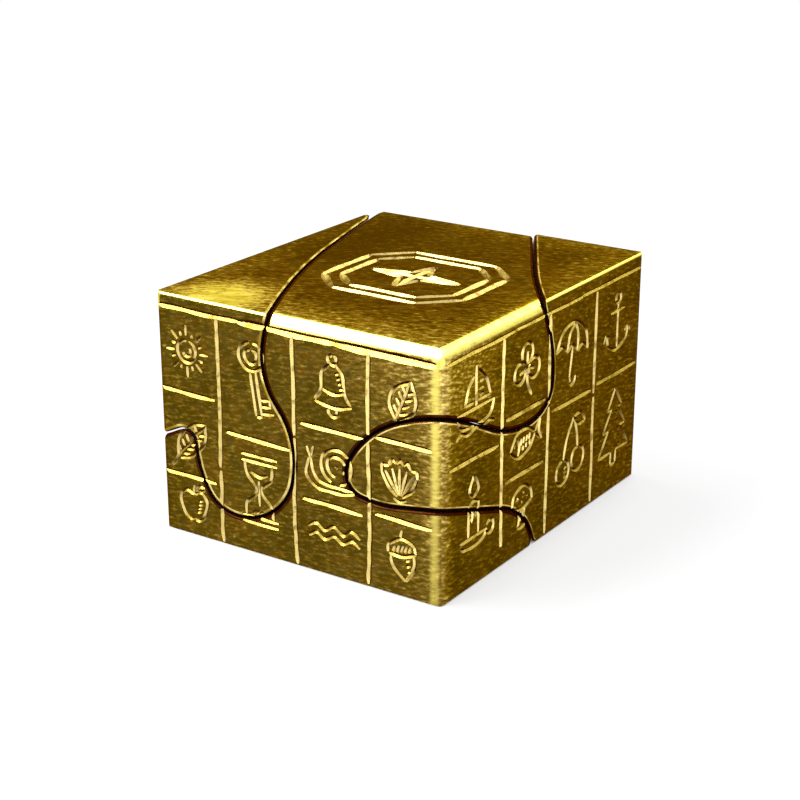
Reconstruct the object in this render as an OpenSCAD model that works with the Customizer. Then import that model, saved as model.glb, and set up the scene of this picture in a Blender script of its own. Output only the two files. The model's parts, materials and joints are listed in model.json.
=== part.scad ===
// A solid brass block, cut right through by two curved cuts into three pieces that slide apart.
// Both cuts run along one slanting direction, the draw, so each outer piece leaves along it.
// The origin is the middle of the block's underside. +Z is up and the front left side faces -Y.

/* [Block] */
// Width of the block, along X
block_w = 40; // [36:1:60]
// Depth of the block, along Y
block_d = 47; // [40:1:60]
// Height of the block
block_h = 30; // [26:1:45]

/* [Edges] */
// Radius of the four upright edges
upright_edge_r = 1.2; // [0.4:0.1:3]
// Radius of the top edges of the middle piece
middle_top_r = 1.8; // [0.3:0.1:2.5]
// Radius of the top edges of the two outer pieces
outer_top_r = 0.4; // [0.2:0.1:2]
// Radius of the bottom edges of every piece
bottom_edge_r = 0.4; // [0.2:0.1:2]

/* [Draw] */
// Turn of the draw, from -Y towards +X
draw_turn = 34; // [28:1:40]
// Rise of the draw above level
draw_rise = 20; // [14:1:26]
// Width of both cuts
cut_gap = 0.2; // [0.1:0.05:1]

/* [Left cut] */
// Radius of the long lead in from the back corner
left_lead_r = 80; // [60:1:120]
// Radius of the shoulder across the top
left_shoulder_r = 25; // [20:0.5:30]
// Radius where the cut turns down the left side
left_waist_r = 10.5; // [8:0.5:13]
// Radius of the neck above the hook
left_neck_r = 11.5; // [9:0.5:14]
// Radius of the hook
left_hook_r = 5.5; // [4:0.25:7]
// Radius of the back of the hook
left_back_r = 14; // [10:0.5:18]
// Radius of the small hump beside the left edge
left_hump_r = 1.8; // [1.2:0.1:2.6]
// Radius of the middle piece's corner at the left edge
left_exit_r = 1.5; // [0.4:0.1:2.5]
// Radius of the left piece's pointed tip
left_tip_r = 0.5; // [0.1:0.05:0.6]

/* [Right cut] */
// Radius of the bend across the top
right_lead_r = 13.5; // [11:0.5:17]
// Radius of the slack bend down the right side
right_slack_r = 18.5; // [15:0.5:23]
// Radius of the middle piece's lobe
right_lobe_r = 6; // [4.5:0.25:7.5]
// Radius of the dip over the tongue
right_dip_r = 17; // [13:0.5:21]
// Radius of the tongue's upper shoulder
tongue_shoulder_r = 8.5; // [7:0.25:10.5]
// Radius of the tongue's tip
tongue_tip_r = 3; // [2.2:0.1:3.8]
// Radius of the tongue's lower shoulder
tongue_heel_r = 11.5; // [9:0.5:14]
// Length of the straight run under the tongue
tongue_run = 11.6; // [9:0.2:14]
// Radius of the middle piece's lower corner
right_foot_r = 4.5; // [3.5:0.25:5.5]
// Radius of the middle piece's corner at the bottom edge
foot_exit_r = 1.3; // [0.4:0.1:2.2]
// Radius of the right piece's corner at the bottom edge
heel_exit_r = 0.5; // [0.2:0.1:1.2]

/* [Hidden] */
$fn = 96;
brass = [0.66, 0.52, 0.16];
// Largest turn between two points of a cut's outline, in degrees
turn_step = 6;
// Corners at an edge are laid this far outside it, so that no surface only just touches another
edge_lap = 0.05;
// How far the cuts start above the block, and how far they run on past its left side
above_block = 4;
past_block = 30;
// Past every side of the block, seen from anywhere
far = block_w + block_d + block_h;

// Directions across the draw: to the right, and up
across = [cos(draw_turn), sin(draw_turn), 0];
upward = [-sin(draw_turn) * sin(draw_rise), cos(draw_turn) * sin(draw_rise), cos(draw_rise)];
// Where a corner of the block lies when seen along the draw, from the block's centre
function seen(sx, sy, sz) =
    let (p = [sx * block_w / 2, sy * block_d / 2, sz * block_h / 2])
    [p * across, p * upward];
left_top = seen(-1, -1, 1);
back_top = seen(-1, 1, 1);
front_foot = seen(1, -1, -1);
right_foot = seen(1, 1, -1);

// A cut is a start, as [right, up, heading], and a chain of rows, each tangent to the last.
// A row is [radius, sweep], with a left turn positive, or [length] for a straight run.
left_start = [-6.7, 21.1, 224];
left_rows = [
    [left_lead_r, 4], [left_shoulder_r, 30], [left_waist_r, 45], [left_neck_r, -45],
    [left_hook_r, -142], [left_back_r, -24], [left_hump_r, 106]
];
right_start = [15.4, 14.6, 259];
right_rows = [
    [right_lead_r, 30], [right_slack_r, -22], [right_lobe_r, -108], [right_dip_r, 34],
    [tongue_shoulder_r, 49], [tongue_tip_r, 94], [tongue_heel_r, 21], [tongue_run],
    [right_foot_r, -70]
];

// The place and heading after one row
function after(s, row) = len(row) == 1
    ? [s.x + row[0] * cos(s.z), s.y + row[0] * sin(s.z), s.z]
    : let (r = sign(row[1]) * row[0], h = s.z + row[1])
      [s.x + r * (sin(h) - sin(s.z)), s.y - r * (cos(h) - cos(s.z)), h];
function share(row, t) = len(row) == 1 ? [row[0] * t] : [row[0], row[1] * t];
function steps(row) = len(row) == 1 ? 1 : ceil(abs(row[1]) / turn_step);
function trace(s, rows, i = 0) = i == len(rows)
    ? []
    : let (n = steps(rows[i]))
      concat([for (k = [1:n]) after(s, share(rows[i], k / n))], trace(after(s, rows[i]), rows, i + 1));
function last(list) = list[len(list) - 1];
function reversed(list) = [for (i = [len(list) - 1:-1:0]) list[i]];
// A point off the line of travel, to its left
function beside(s, off) = [s.x - off * sin(s.z), s.y + off * cos(s.z)];
function outline(states, off) = [for (s = states) beside(s, off)];
function turned_back(s) = [s.x, s.y, s.z - 180];

// Rows that carry one side of a cut on to a silhouette edge and round its corner there.
// The edge passes through q and leaves along the given heading.
function corner_rows(s, off, q, heading, r) =
    let (
        sweep = heading - s.z,
        p = beside(s, off),
        e = q + edge_lap * sign(sin(sweep)) * [sin(heading), -cos(heading)],
        reach = cross(e - p, [cos(heading), sin(heading)]) / sin(sweep),
        run = reach - r * tan(abs(sweep) / 2)
    )
    [[max(0, run)], [r + off * sign(sweep), sweep]];
function corner(s, off, q, heading, r) = outline(trace(s, corner_rows(s, off, q, heading, r)), off);
// Where a cut comes in, above the highest point of the block
function way_in(s) = after(s, [-(back_top.y + above_block - s.y) / sin(s.z + 180)]);

half = cut_gap / 2;
left_path = concat([left_start], trace(left_start, left_rows));
right_path = concat([right_start], trace(right_start, right_rows));
left_end = last(left_path);
right_end = last(right_path);
// Headings of the silhouette edges that the cuts reach
down_left_edge = 270;
along_back_edge = atan2(left_top.y - back_top.y, left_top.x - back_top.x) + 360;
along_foot_edge = atan2(front_foot.y - right_foot.y, front_foot.x - right_foot.x) + 360;

// The sides of the cuts, each from the top of the block to its far end
left_piece_side = concat(
    reversed(corner(turned_back(left_start), half, back_top, along_back_edge, left_tip_r)),
    outline(left_path, -half),
    [beside(after(left_end, [past_block]), -half)]);
middle_left_side = concat(
    [beside(way_in(left_start), half)], outline(left_path, half),
    corner(left_end, half, left_top, down_left_edge, left_exit_r));
middle_right_side = concat(
    [beside(way_in(right_start), -half)], outline(right_path, -half),
    corner(right_end, -half, front_foot, along_foot_edge, foot_exit_r));
right_piece_side = concat(
    [beside(way_in(right_start), half)], outline(right_path, half),
    corner(right_end, half, front_foot, along_foot_edge + 180, heel_exit_r));

module rounded_plan(r) {
    square([block_w, block_d - 2 * r], center = true);
    square([block_w - 2 * r, block_d], center = true);
    for (x = [-1, 1], y = [-1, 1]) {
        translate([x * (block_w / 2 - r), y * (block_d / 2 - r)]) circle(r);
    }
}

// An upright section of the block, with its own radius at the top and at the bottom
module rounded_section(w, top_r) {
    translate([-w / 2, bottom_edge_r]) square([w, block_h - bottom_edge_r - top_r]);
    translate([-w / 2 + bottom_edge_r, 0]) square([w - 2 * bottom_edge_r, block_h / 2]);
    translate([-w / 2 + top_r, block_h / 2]) square([w - 2 * top_r, block_h / 2]);
    for (x = [-1, 1]) {
        translate([x * (w / 2 - bottom_edge_r), bottom_edge_r]) circle(bottom_edge_r);
        translate([x * (w / 2 - top_r), block_h - top_r]) circle(top_r);
    }
}

// The whole block before it is cut
module block(top_r) {
    intersection() {
        linear_extrude(block_h) rounded_plan(upright_edge_r);
        rotate([90, 0, 0]) linear_extrude(block_d, center = true) rounded_section(block_w, top_r);
        rotate([90, 0, 90]) linear_extrude(block_w, center = true) rounded_section(block_d, top_r);
    }
}

// What an outline keeps of the block, swept along the draw
module swept(points) {
    translate([0, 0, block_h / 2])
        rotate([90 - draw_rise, 0, draw_turn])
        linear_extrude(2 * far, center = true)
        polygon(points);
}

module left_piece() {
    color(brass) intersection() {
        block(outer_top_r);
        swept(concat(left_piece_side, [[-far, far]]));
    }
}

module middle_piece() {
    color(brass) intersection() {
        block(middle_top_r);
        swept(concat(middle_left_side, [[-far, -far], [0, -far]], reversed(middle_right_side)));
    }
}

module right_piece() {
    color(brass) intersection() {
        block(outer_top_r);
        swept(concat(right_piece_side, [[far, -far], [far, far]]));
    }
}

left_piece();
middle_piece();
right_piece();
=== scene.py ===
import json
import math
import random

import bmesh
import bpy
from mathutils import Matrix, Vector

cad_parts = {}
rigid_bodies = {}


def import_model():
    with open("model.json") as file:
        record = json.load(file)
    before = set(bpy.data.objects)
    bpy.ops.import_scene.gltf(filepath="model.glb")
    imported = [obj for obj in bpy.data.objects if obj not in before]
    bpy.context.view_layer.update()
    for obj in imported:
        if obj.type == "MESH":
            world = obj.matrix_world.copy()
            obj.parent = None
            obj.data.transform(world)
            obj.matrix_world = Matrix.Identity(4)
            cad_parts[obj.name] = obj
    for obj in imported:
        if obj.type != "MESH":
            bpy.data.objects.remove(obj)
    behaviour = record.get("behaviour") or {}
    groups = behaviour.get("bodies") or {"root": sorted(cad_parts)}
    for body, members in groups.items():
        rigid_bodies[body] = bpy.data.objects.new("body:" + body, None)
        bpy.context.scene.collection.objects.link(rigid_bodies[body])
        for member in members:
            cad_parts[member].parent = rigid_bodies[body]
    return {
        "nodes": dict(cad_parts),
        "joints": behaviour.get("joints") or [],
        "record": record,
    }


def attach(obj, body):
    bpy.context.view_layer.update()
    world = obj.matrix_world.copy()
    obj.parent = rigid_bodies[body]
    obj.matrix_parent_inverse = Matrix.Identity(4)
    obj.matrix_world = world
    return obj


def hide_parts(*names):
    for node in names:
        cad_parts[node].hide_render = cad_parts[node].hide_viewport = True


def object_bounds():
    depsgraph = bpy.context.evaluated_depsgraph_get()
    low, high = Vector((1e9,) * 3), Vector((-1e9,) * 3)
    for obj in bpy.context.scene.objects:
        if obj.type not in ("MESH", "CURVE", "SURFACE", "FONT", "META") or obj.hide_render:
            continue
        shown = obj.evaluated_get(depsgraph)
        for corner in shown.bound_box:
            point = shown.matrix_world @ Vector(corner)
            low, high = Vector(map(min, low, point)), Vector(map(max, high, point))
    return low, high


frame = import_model()
cad_box = [list(corner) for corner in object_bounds()]

# ---------------------------------------------------------------- sizes
MM = 0.001
LOW, HIGH = (Vector(corner) for corner in cad_box)
WIDTH = HIGH.x - LOW.x
DEPTH = HIGH.y - LOW.y
HEIGHT = HIGH.z - LOW.z
DRAW = Vector(frame["joints"][0]["axis"]).normalized()

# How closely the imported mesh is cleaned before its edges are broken
WELD = 0.001 * MM
FLAT_ANGLE = math.radians(0.2)
SHORTEST_EDGE = 0.03 * MM
# The edges on the underside, and this far up from it, stay as they were sawn
UNBROKEN_BELOW = 0.45 * MM
# Edges that turn more than this stay crisp, and edges that bend by less than this are made straight
CREASE_ANGLE = math.radians(28)
HAIR = 0.02 * MM
# A face this nearly parallel to the draw is a wall of one of the two cuts, if it has a side this long
# that runs this straight along the draw
WALL_LEAN = 0.03
LONG_SIDE = 0.2 * MM
STRAIGHT = 0.999
# A face this nearly parallel to one of the block's own directions may belong to a rounded edge
ROUNDING_LEAN = 0.01

# The graver's groove: width at full weight, and its depth and the cutter's clearance as parts of that
GROOVE_WIDTH = 0.6 * MM
GROOVE_DEEP = 0.36
GROOVE_CLEAR = 0.2
# Length of one step along a curved groove and along a straight one, in millimetres
GROOVE_STEP = 0.3
STRAIGHT_STEP = 2.5 * GROOVE_STEP
# How far the hand wanders, in millimetres, and how much the groove's weight changes
HAND_WANDER = 0.06
HAND_WEIGHT = 0.1
# How fast each does so, in radians a step, and the round in which it may start anywhere
WANDER_PACE = 0.55
WEIGHT_PACE = 0.9
FULL_ROUND = 6.28
# Weight of a groove where the graver goes in and comes out, and what it gains with each step from there
GROOVE_END = 0.6
GROOVE_GAIN = 0.3
# Points of a cutter nearer to each other than this are one, in millimetres
CUTTER_WELD = 0.0005

hand = random.Random(11)

# ---------------------------------------------------------------- node helpers


def put(tree, kind, inputs=None, **settings):
    "Adds a node. An input given as a socket is linked, and any other value is set."
    node = tree.nodes.new(kind)
    for name, value in settings.items():
        setattr(node, name, value)
    for key, value in (inputs or {}).items():
        if isinstance(value, bpy.types.NodeSocket):
            tree.links.new(value, node.inputs[key])
        else:
            node.inputs[key].default_value = value
    return node


def sums(tree, operation, *values, clamp=False):
    "A maths node's result."
    inputs = dict(enumerate(values))
    return put(tree, "ShaderNodeMath", inputs, operation=operation, use_clamp=clamp).outputs[0]


def product(tree, first, *others):
    "The product of several values."
    for other in others:
        first = sums(tree, "MULTIPLY", first, other)
    return first


def largest(tree, first, *others):
    "The largest of several values."
    for other in others:
        first = sums(tree, "MAXIMUM", first, other)
    return first


def fade(tree, value, start, end, low=0.0, high=1.0):
    "Turns a value between start and end smoothly into one between low and high."
    inputs = {"Value": value, "From Min": start, "From Max": end, "To Min": low, "To Max": high}
    node = put(tree, "ShaderNodeMapRange", inputs, interpolation_type="SMOOTHSTEP")
    return node.outputs["Result"]


def near(tree, distance, start, end, most=1.0):
    "Full as far as the start, and nothing from the end on."
    return fade(tree, distance, start, end, most, 0.0)


def blend_colour(tree, amount, first, second):
    "Mixes two colours."
    return put(tree, "ShaderNodeMix", {0: amount, 6: first, 7: second}, data_type="RGBA").outputs[2]


def three_parts(tree, kind):
    "A place on the object, or the way the surface faces there, as three numbers."
    place = tree.nodes.new("ShaderNodeTexCoord")
    return put(tree, "ShaderNodeSeparateXYZ", {0: place.outputs[kind]}).outputs


def noise(tree, vector, scale, detail=2.0, roughness=0.5):
    "The value of a noise texture."
    inputs = {"Vector": vector, "Scale": scale, "Detail": detail, "Roughness": roughness}
    return put(tree, "ShaderNodeTexNoise", inputs).outputs["Fac"]


def new_group(name, inputs, outputs):
    "A shader group with number inputs and number outputs, and its in and out nodes."
    tree = bpy.data.node_groups.new(name, "ShaderNodeTree")
    for label, value in inputs.items():
        socket = tree.interface.new_socket(label, in_out="INPUT", socket_type="NodeSocketFloat")
        socket.default_value = value
    for label in outputs:
        tree.interface.new_socket(label, in_out="OUTPUT", socket_type="NodeSocketFloat")
    return tree, tree.nodes.new("NodeGroupInput"), tree.nodes.new("NodeGroupOutput")


def use_group(tree, group, **values):
    "Places a group in a material, with its own values."
    node = tree.nodes.new("ShaderNodeGroup")
    node.node_tree = group
    for label, value in values.items():
        node.inputs[label.replace("_", " ").capitalize()].default_value = value
    return node.outputs


# ---------------------------------------------------------------- finishes, as groups

# How the emery was drawn over each pair of faces: the directions along it and across it
BRUSH_FRONT = ((0.99, 0, 0.14), (-0.14, 0, 0.99))
BRUSH_END = ((0, 0.98, -0.19), (0, 0.19, 0.98))
BRUSH_TOP = ((0.93, 0.37, 0), (-0.37, 0.93, 0))
# How squarely a surface faces a direction where it starts to count as looking that way, and where it does
SQUARE_ON = (0.6, 0.8)


def make_brush_lines():
    "Fine lines left by the emery, with so many to a millimetre across it and so many breaks along it."
    tree, given, result = new_group("brush_lines", {"Across": 2.6, "Along": 0.75}, ["Lines", "Long lines"])
    place = tree.nodes.new("ShaderNodeTexCoord")
    facing = three_parts(tree, "Normal")
    across = sums(tree, "MULTIPLY", given.outputs["Across"], 1 / MM)
    along = sums(tree, "MULTIPLY", given.outputs["Along"], 1 / MM)
    lines = []
    for directions in (BRUSH_FRONT, BRUSH_END, BRUSH_TOP):
        parts = []
        for direction, scale in zip(directions, (along, across)):
            inputs = {0: place.outputs["Object"], 1: direction}
            reach = put(tree, "ShaderNodeVectorMath", inputs, operation="DOT_PRODUCT").outputs["Value"]
            parts.append(sums(tree, "MULTIPLY", reach, scale))
        spot = put(tree, "ShaderNodeCombineXYZ", {0: parts[0], 1: parts[1]}).outputs[0]
        lines.append((noise(tree, spot, 1.0, 3.0, 0.6), noise(tree, spot, 0.35, 2.0, 0.6)))
    for k, label in enumerate(("Lines", "Long lines")):
        value = lines[0][k]
        for axis, other in ((0, lines[1][k]), (2, lines[2][k])):
            turned = fade(tree, sums(tree, "ABSOLUTE", facing[axis]), *SQUARE_ON)
            value = put(tree, "ShaderNodeMix", {0: turned, 2: value, 3: other}, data_type="FLOAT").outputs[0]
        tree.links.new(value, result.inputs[label])
    return tree


# Where the painted glow of highlights is brightest: its front top corner, and near the left end of its front
# top edge
CORNER = (WIDTH / 2, -DEPTH / 2, HEIGHT)
LEFT_END = (-WIDTH / 2 + 8.0 * MM, -DEPTH / 2 + 2.5 * MM, HEIGHT)


def make_block_edge():
    "In millimetres: distance from the block's faces and from its brightest places."
    outputs = ["From right", "From front", "Below", "Side", "Corner", "Left end"]
    tree, _, result = new_group("block_edge", {}, outputs)
    place = tree.nodes.new("ShaderNodeTexCoord")
    at = three_parts(tree, "Object")
    half_width = sums(tree, "SUBTRACT", WIDTH / 2, sums(tree, "ABSOLUTE", at[0]))
    half_depth = sums(tree, "SUBTRACT", DEPTH / 2, sums(tree, "ABSOLUTE", at[1]))
    values = {
        "From right": sums(tree, "SUBTRACT", WIDTH / 2, at[0]),
        "From front": sums(tree, "ADD", at[1], DEPTH / 2),
        "Below": sums(tree, "SUBTRACT", HEIGHT, at[2]),
        "Side": sums(tree, "MINIMUM", half_width, half_depth),
    }
    for label, spot in (("Corner", CORNER), ("Left end", LEFT_END)):
        inputs = {0: place.outputs["Object"], 1: spot}
        values[label] = put(tree, "ShaderNodeVectorMath", inputs, operation="DISTANCE").outputs["Value"]
    for label, value in values.items():
        tree.links.new(sums(tree, "MULTIPLY", value, 1 / MM), result.inputs[label])
    return tree


# Flecks are longer across the block than they are high
FLECK_STRETCH = (0.7, 0.7, 1.5)


def make_mottle():
    """The uneven tone of well-held brass: broad clouds, and small flecks drawn out by the brushing."""
    tree, given, result = new_group("mottle", {"Cloud size": 4.0, "Fleck size": 0.5}, ["Clouds", "Flecks"])
    spot = tree.nodes.new("ShaderNodeTexCoord").outputs["Object"]
    flat = put(tree, "ShaderNodeMapping", {"Vector": spot, "Scale": FLECK_STRETCH}).outputs[0]
    cloud_scale = sums(tree, "DIVIDE", 1 / MM, given.outputs["Cloud size"])
    fleck_scale = sums(tree, "DIVIDE", 1 / MM, given.outputs["Fleck size"])
    tree.links.new(noise(tree, spot, cloud_scale, 4.0), result.inputs["Clouds"])
    tree.links.new(noise(tree, flat, fleck_scale, 3.0, 0.7), result.inputs["Flecks"])
    return tree


brush_lines = make_brush_lines()
block_edge = make_block_edge()
mottle = make_mottle()

# ---------------------------------------------------------------- materials

OLIVE = (0.108, 0.068, 0.006, 1)
UMBER = (0.135, 0.07, 0.005, 1)
# The darkest brass: a random darker tone for patches and brush lines, and painted shade
DARK_TONE_AND_SHADE = (0.065, 0.042, 0.002, 1)
# GOLD, BRIGHT and GLEAM: brighter brass where the grain rises, and painted glow, glints and highlight lines
GOLD = (0.32, 0.195, 0.025, 1)
BRIGHT = (0.72, 0.53, 0.15, 1)
GLEAM = (0.95, 0.79, 0.17, 1)
# STRAW and AMBER paint the lit sides of the grooves; STRAW is also the sheen of the worn edges
STRAW = (0.92, 0.72, 0.25, 1)
AMBER = (0.58, 0.43, 0.09, 1)
SLATE = (0.12, 0.1, 0.03, 1)
# Painted shade on the dark sides of the grooves
SHADED_WALL_BROWN = (0.05, 0.016, 0.003, 1)
# Painted shade on the inner strips of the edges along the cuts
EDGE_SHADE_BROWN = (0.042, 0.009, 0.003, 1)
SAWN_DARK = (0.33, 0.22, 0.055, 1)
SAWN_LIGHT = (0.6, 0.45, 0.15, 1)
# How much each way a groove's side can face counts towards its being painted lit and bright
LIT_SIDE_SHARE = (0.6, -0.6, 1.0)
# A groove's side looks out of the face it is cut in by more than this, and sideways by less
OUTWARD = 0.72
# Where the painted highlight line on the front upright edge runs, in millimetres to the left of its middle
HIGHLIGHT_LINE = 0.9
# How many lines the saw left to a millimetre on the walls of the cuts, and how far it drew them out
SAW_LINES = 9.0 / MM
SAW_STRETCH = (0.05, 1, 1)
# What the metal turns towards where it is seen edge on
EDGE_TINT = (0.5, 0.38, 0.06, 1)

# In the finishes below, the numbers in a fade or a near are where it starts and ends, and then the values
# it goes between. Distances that block_edge gives are in millimetres.


def new_material(name):
    "A metal material, its tree and its shader."
    material = bpy.data.materials.new(name)
    material.use_nodes = True
    shader = material.node_tree.nodes["Principled BSDF"]
    shader.inputs["Metallic"].default_value = 1.0
    shader.inputs["Specular Tint"].default_value = EDGE_TINT
    return material, material.node_tree, shader


def set_finish(tree, shader, colour, rough):
    "Gives a metal its colour and its roughness."
    tree.links.new(colour, shader.inputs["Base Color"])
    tree.links.new(rough, shader.inputs["Roughness"])


def set_relief(tree, shader, height, strength, depth):
    "Gives a metal its fine relief, as deep as this in millimetres."
    bump = put(tree, "ShaderNodeBump", {"Strength": strength, "Distance": depth * MM, "Height": height})
    tree.links.new(bump.outputs["Normal"], shader.inputs["Normal"])


def make_groove_side():
    """Which side of a groove this is, 1 where it is painted lit and bright and 0 where it is painted in
    shade, and its tilt.
    """
    tree, _, result = new_group("groove_side", {}, ["Bright side", "Upward"])
    facing = three_parts(tree, "Normal")
    leans = []
    for value, share in zip(facing, LIT_SIDE_SHARE):
        sideways = sums(tree, "LESS_THAN", sums(tree, "ABSOLUTE", value), OUTWARD)
        leans.append(product(tree, value, sideways, share))
    lean = sums(tree, "ADD", sums(tree, "ADD", leans[0], leans[1]), leans[2])
    tree.links.new(fade(tree, lean, -0.16, 0.12), result.inputs["Bright side"])
    upward = product(tree, fade(tree, facing[2], 0.2, 0.5), near(tree, facing[2], 0.65, 0.75))
    tree.links.new(upward, result.inputs["Upward"])
    return tree


groove_side = make_groove_side()


def dull_ground(tree, where, tone, lines, facing, far_end):
    """The colour of the metal under its bright parts: olive and umber, with darker spots, patches and lines,
    and painted shade away from the front top corner and at the far end of the top.
    """
    reddish = fade(tree, facing[0], 0.5, 0.8, 0.0, 0.4)
    warm = sums(tree, "ADD", fade(tree, tone["Clouds"], 0.38, 0.62), reddish, clamp=True)
    spots = use_group(tree, mottle, cloud_size=0.9)["Clouds"]
    patches = use_group(tree, mottle, cloud_size=6.5)["Clouds"]
    dull = blend_colour(tree, warm, OLIVE, UMBER)
    dull = blend_colour(tree, fade(tree, spots, 0.5, 0.66, 0.0, 0.5), dull, SLATE)
    dull = blend_colour(tree, fade(tree, patches, 0.46, 0.6, 0.0, 0.55), dull, DARK_TONE_AND_SHADE)
    # Painted shade: darker the farther from the front top corner, and at the far end of the top
    dull = blend_colour(tree, fade(tree, where["Corner"], 24.0, 50.0, 0.0, 0.3), dull, DARK_TONE_AND_SHADE)
    dull = blend_colour(tree, far_end, dull, DARK_TONE_AND_SHADE)
    return blend_colour(tree, near(tree, lines["Long lines"], 0.35, 0.6, 0.5), dull, DARK_TONE_AND_SHADE)


def wear_and_glow_places(tree, where, on_top):
    """How much each place is rubbed bright by hands and painted with the glow of highlights: on the top and
    down the front upright edge.
    """
    by_side = product(tree, near(tree, where["Side"], 1.0, 8.0, 0.55), on_top)
    by_end = product(tree, near(tree, where["Left end"], 1.0, 11.0, 2.2), on_top)
    by_brow = product(tree, near(tree, where["From front"], 1.5, 10.0, 0.9), on_top)
    by_corner = near(tree, where["Corner"], 2.0, 19.0, 0.85)
    left_of_edge = product(
        tree, near(tree, where["From right"], 0.6, 5.5, 1.25), near(tree, where["From front"], 1.2, 3.0),
        fade(tree, where["Below"], 2.0, 27.0, 1.0, 0.45),
    )
    right_of_edge = product(
        tree, near(tree, where["From front"], 0.6, 3.4, 0.9), near(tree, where["From right"], 1.2, 3.0),
        near(tree, where["Below"], 4.0, 13.0),
    )
    return largest(tree, by_side, by_end, by_brow, by_corner, left_of_edge, right_of_edge)


def painted_rim_highlights(tree, where, facing, grain):
    """Painted highlights: the bright lines along the rounded top edges and down the front upright edge."""
    flat = largest(tree, *[sums(tree, "ABSOLUTE", value) for value in facing])
    along_top = product(tree, near(tree, flat, 0.9, 0.985), near(tree, where["Below"], 1.6, 2.2))
    across = sums(tree, "SUBTRACT", where["From right"], where["From front"])
    off_line = sums(tree, "ABSOLUTE", sums(tree, "SUBTRACT", across, HIGHLIGHT_LINE))
    from_edge = largest(tree, where["From right"], where["From front"])
    down_front = product(
        tree, near(tree, off_line, 0.1, 0.9), near(tree, from_edge, 1.6, 2.6),
        fade(tree, where["Below"], 3.0, 26.0, 1.0, 0.5),
    )
    return product(tree, largest(tree, along_top, down_front), fade(tree, grain, 0.36, 0.52, 0.7, 1.0))


def make_brushed_brass():
    "The block's faces: dark handled brass with brush lines, rubbed bright where hands hold it."
    material, tree, shader = new_material("brushed_brass")
    lines = use_group(tree, brush_lines)
    where = use_group(tree, block_edge)
    tone = use_group(tree, mottle)
    facing = three_parts(tree, "Normal")
    on_top = fade(tree, facing[2], *SQUARE_ON)
    # Painted shade on the top of the left piece towards its back, away from the painted glow at the left end
    away = fade(tree, where["Left end"], 13.0, 24.0, 0.0, 0.75)
    far_end = product(tree, away, fade(tree, where["From right"], 24.0, 31.0), on_top)
    dull = dull_ground(tree, where, tone, lines, facing, far_end)
    # Wear and painted glow: on the top near its edges and the left end, round the front top corner and beside
    # the front upright edge
    wear_and_glow = wear_and_glow_places(tree, where, on_top)
    grain = sums(tree, "ADD", product(tree, tone["Flecks"], 0.4), product(tree, lines["Lines"], 0.6))
    lifted = sums(tree, "ADD", grain, product(tree, wear_and_glow, 0.15))
    lifted = sums(tree, "SUBTRACT", lifted, product(tree, far_end, 0.07))
    # Brighter brass where the grain rises, painted glints in the flecks, and painted glow where the mask of
    # wear and glow is strong
    golden = largest(tree, fade(tree, lifted, 0.46, 0.72), fade(tree, wear_and_glow, 0.3, 1.3, 0.0, 0.6))
    colour = blend_colour(tree, golden, dull, GOLD)
    colour = blend_colour(tree, fade(tree, lifted, 0.6, 0.78), colour, BRIGHT)
    colour = blend_colour(tree, fade(tree, lifted, 0.7, 0.82), colour, GLEAM)
    # Painted highlight lines along the rounded top edges and down the front upright edge
    colour = blend_colour(tree, painted_rim_highlights(tree, where, facing, grain), colour, GLEAM)
    set_finish(tree, shader, colour, fade(tree, lines["Long lines"], 0.3, 0.7, 0.26, 0.42))
    set_relief(tree, shader, grain, 0.8, 0.03)
    return material


def make_graved_brass():
    "The graver's grooves: one side fresh and bright, the other dark, and both uneven along their length."
    material, tree, shader = new_material("graved_brass")
    where = use_group(tree, block_edge)
    tone = use_group(tree, mottle, cloud_size=1.3, fleck_size=0.25)
    side = use_group(tree, groove_side)
    facing = three_parts(tree, "Normal")
    # Painted light and shade on the groove walls: the lit side straw or amber, the side in shade dark brown
    lit_wall = blend_colour(tree, side["Upward"], STRAW, AMBER)
    lit_wall = blend_colour(tree, fade(tree, tone["Clouds"], 0.3, 0.5, 0.3, 1.0), UMBER, lit_wall)
    colour = blend_colour(tree, side["Bright side"], SHADED_WALL_BROWN, lit_wall)
    # Painted shade: the grooves turn umber the farther they are from the front top corner, and duller on the
    # top
    far_off = fade(tree, where["Corner"], 10.0, 45.0, 0.0, 0.3)
    dulled = largest(tree, far_off, fade(tree, facing[2], 0.65, 0.75, 0.0, 0.42))
    colour = blend_colour(tree, dulled, colour, UMBER)
    set_finish(tree, shader, colour, fade(tree, tone["Flecks"], 0.3, 0.7, 0.3, 0.5))
    set_relief(tree, shader, tone["Flecks"], 0.7, 0.04)
    return material


def make_sawn_brass():
    "The walls of the two cuts: satin brass, with fine lines along the draw."
    material, tree, shader = new_material("sawn_brass")
    tone = use_group(tree, mottle, cloud_size=3.0, fleck_size=0.4)
    spot = tree.nodes.new("ShaderNodeTexCoord").outputs["Object"]
    turn = DRAW.to_track_quat("X", "Z").inverted().to_euler()
    turned = put(tree, "ShaderNodeMapping", {"Vector": spot, "Rotation": turn}).outputs[0]
    drawn = put(tree, "ShaderNodeMapping", {"Vector": turned, "Scale": SAW_STRETCH}).outputs[0]
    saw_lines = noise(tree, drawn, SAW_LINES, 3.0, 0.65)
    colour = blend_colour(tree, fade(tree, saw_lines, 0.3, 0.75), SAWN_DARK, SAWN_LIGHT)
    colour = blend_colour(tree, fade(tree, tone["Clouds"], 0.5, 0.75, 0.0, 0.35), colour, UMBER)
    set_finish(tree, shader, colour, fade(tree, tone["Flecks"], 0.3, 0.7, 0.24, 0.36))
    set_relief(tree, shader, saw_lines, 0.5, 0.02)
    return material


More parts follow.
